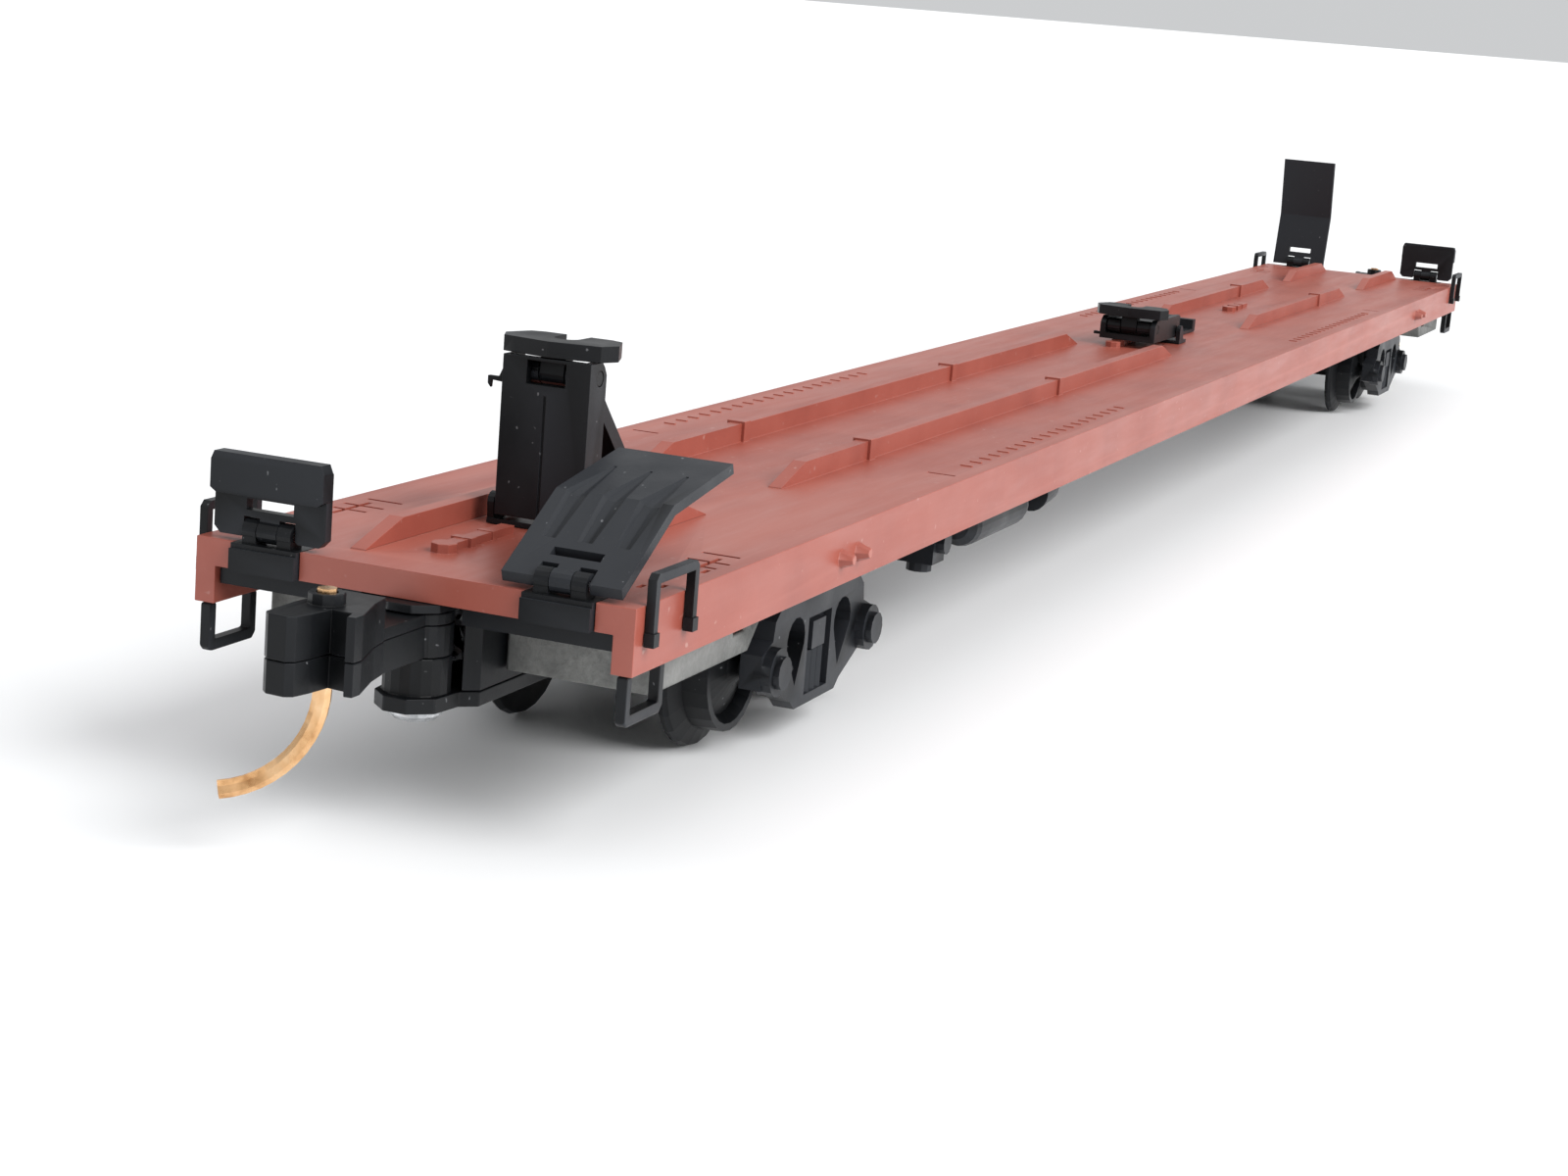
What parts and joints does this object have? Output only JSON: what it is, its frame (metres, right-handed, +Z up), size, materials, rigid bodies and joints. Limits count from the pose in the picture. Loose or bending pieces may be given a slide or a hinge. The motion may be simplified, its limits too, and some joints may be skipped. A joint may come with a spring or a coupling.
{
  "type": "model flat car",
  "caption": "Long model railway flat car for piggyback trailers, with folding hitches, hinged bridge plates, bogie trucks and knuckle couplers.",
  "frame": {"origin": "centre of the bounding box's bottom, on the floor under the wheel flanges", "axes": "+X along the car from the end with the raised hitch to the other end, +Y to the left, +Z up"},
  "size_m": [0.1852, 0.0182, 0.0185],
  "materials": {
    "brown_plastic": "semi-gloss moulded red-brown",
    "black_plastic": "satin moulded black",
    "cast_metal": "rough cast grey metal",
    "bronze": "drawn wire, bronze coloured",
    "steel": "bright turned steel"
  },
  "bodies": {
    "car": {"deck": "brown_plastic", "underframe": "black_plastic", "air_tank": "black_plastic", "brake_cylinder": "black_plastic", "brake_valve": "black_plastic", "hitch_base_near": "black_plastic", "hitch_base_middle": "black_plastic", "weight_near": "cast_metal", "kingpin_near": "black_plastic", "coupler_box_near": "black_plastic", "coupler_lid_near": "black_plastic", "coupler_screw_near": "steel", "centring_spring_near": "steel", "hinge_block_ramp_near": "black_plastic", "hinge_block_plate_near": "black_plastic", "hinge_pin_ramp_near": "steel", "hinge_pin_plate_near": "steel", "grab_iron_left_near": "black_plastic", "grab_iron_right_near": "black_plastic", "step_left_near": "black_plastic", "step_right_near": "black_plastic", "weight_far": "cast_metal", "kingpin_far": "black_plastic", "coupler_box_far": "black_plastic", "coupler_lid_far": "black_plastic", "coupler_screw_far": "steel", "centring_spring_far": "steel", "hinge_block_ramp_far": "black_plastic", "hinge_block_plate_far": "black_plastic", "hinge_pin_ramp_far": "steel", "hinge_pin_plate_far": "steel", "grab_iron_left_far": "black_plastic", "grab_iron_right_far": "black_plastic", "step_left_far": "black_plastic", "step_right_far": "black_plastic"},
    "ramp_near": {"bridge_ramp_near": "black_plastic"},
    "plate_near": {"bridge_plate_near": "black_plastic"},
    "truck_near": {"truck_frame_near": "black_plastic"},
    "wheels_near_outer": {"wheelset_near_outer": "black_plastic"},
    "wheels_near_inner": {"wheelset_near_inner": "black_plastic"},
    "coupler_near": {"coupler_upper_near": "black_plastic", "coupler_lower_near": "black_plastic", "trip_pin_near": "bronze"},
    "ramp_far": {"bridge_ramp_far": "black_plastic"},
    "plate_far": {"bridge_plate_far": "black_plastic"},
    "truck_far": {"truck_frame_far": "black_plastic"},
    "wheels_far_outer": {"wheelset_far_outer": "black_plastic"},
    "wheels_far_inner": {"wheelset_far_inner": "black_plastic"},
    "coupler_far": {"coupler_upper_far": "black_plastic", "coupler_lower_far": "black_plastic", "trip_pin_far": "bronze"},
    "post_near": {"hitch_post_near": "black_plastic", "hitch_pin_near": "black_plastic"},
    "head_near": {"hitch_head_near": "black_plastic"},
    "brace_near": {"hitch_brace_near": "black_plastic"},
    "post_middle": {"hitch_post_middle": "black_plastic", "hitch_pin_middle": "black_plastic"},
    "head_middle": {"hitch_head_middle": "black_plastic"},
    "brace_middle": {"hitch_brace_middle": "black_plastic"}
  },
  "joints": [
    {"name": "ramp_hinge_near", "type": "hinge", "parent": "car", "child": "ramp_near", "pos_m": [-0.08475, -0.0057, 0.00955], "axis": [0, -1, 0], "range_deg": [-18, 155]},
    {"name": "plate_hinge_near", "type": "hinge", "parent": "car", "child": "plate_near", "pos_m": [-0.08475, 0.0057, 0.00955], "axis": [0, -1, 0], "range_deg": [-85, 88]},
    {"name": "truck_swivel_near", "type": "hinge", "parent": "car", "child": "truck_near", "pos_m": [-0.0634, 0, 0.0052], "axis": [0, 0, 1], "range_deg": [-8, 8]},
    {"name": "axle_near_outer", "type": "hinge", "parent": "truck_near", "child": "wheels_near_outer", "pos_m": [-0.0685, 0, 0.0035], "axis": [0, 1, 0], "continuous": true},
    {"name": "axle_near_inner", "type": "hinge", "parent": "truck_near", "child": "wheels_near_inner", "pos_m": [-0.0583, 0, 0.0035], "axis": [0, 1, 0], "continuous": true},
    {"name": "coupler_swing_near", "type": "hinge", "parent": "car", "child": "coupler_near", "pos_m": [-0.0842, 0, 0.0067], "axis": [0, 0, 1], "range_deg": [-8, 8], "stiffness_Nm_per_rad": 0.00002},
    {"name": "ramp_hinge_far", "type": "hinge", "parent": "car", "child": "ramp_far", "pos_m": [0.08475, 0.0057, 0.00955], "axis": [0, 1, 0], "range_deg": [-85, 85]},
    {"name": "plate_hinge_far", "type": "hinge", "parent": "car", "child": "plate_far", "pos_m": [0.08475, -0.0057, 0.00955], "axis": [0, 1, 0], "range_deg": [-85, 88]},
    {"name": "truck_swivel_far", "type": "hinge", "parent": "car", "child": "truck_far", "pos_m": [0.0634, 0, 0.0052], "axis": [0, 0, 1], "range_deg": [-8, 8]},
    {"name": "axle_far_outer", "type": "hinge", "parent": "truck_far", "child": "wheels_far_outer", "pos_m": [0.0685, 0, 0.0035], "axis": [0, 1, 0], "continuous": true},
    {"name": "axle_far_inner", "type": "hinge", "parent": "truck_far", "child": "wheels_far_inner", "pos_m": [0.0583, 0, 0.0035], "axis": [0, 1, 0], "continuous": true},
    {"name": "coupler_swing_far", "type": "hinge", "parent": "car", "child": "coupler_far", "pos_m": [0.0842, 0, 0.0067], "axis": [0, 0, 1], "range_deg": [-8, 8], "stiffness_Nm_per_rad": 0.00002},
    {"name": "post_fold_near", "type": "hinge", "parent": "car", "child": "post_near", "pos_m": [-0.0753, 0, 0.00995], "axis": [0, -1, 0], "range_deg": [0, 90]},
    {"name": "head_level_near", "type": "hinge", "parent": "post_near", "child": "head_near", "pos_m": [-0.07485, 0, 0.01495], "axis": [0, -1, 0], "range_deg": [-90, 0]},
    {"name": "brace_fold_near", "type": "hinge", "parent": "post_near", "child": "brace_near", "pos_m": [-0.07485, 0, 0.01495], "axis": [0, -1, 0], "range_deg": [-46, 0]},
    {"name": "post_fold_middle", "type": "hinge", "parent": "car", "child": "post_middle", "pos_m": [0.0117, 0, 0.00995], "axis": [0, 1, 0], "range_deg": [0, 90]},
    {"name": "head_level_middle", "type": "hinge", "parent": "post_middle", "child": "head_middle", "pos_m": [0.0067, 0, 0.0104], "axis": [0, 1, 0], "range_deg": [-90, 0]},
    {"name": "brace_fold_middle", "type": "hinge", "parent": "post_middle", "child": "brace_middle", "pos_m": [0.0067, 0, 0.0104], "axis": [0, 1, 0], "range_deg": [-46, 0]}
  ],
  "couplings": [
    {"joint": "head_level_near", "follows": "post_fold_near", "ratio": -1},
    {"joint": "brace_fold_near", "follows": "post_fold_near", "ratio": -0.497},
    {"joint": "head_level_middle", "follows": "post_fold_middle", "ratio": -1},
    {"joint": "brace_fold_middle", "follows": "post_fold_middle", "ratio": -0.497}
  ]
}
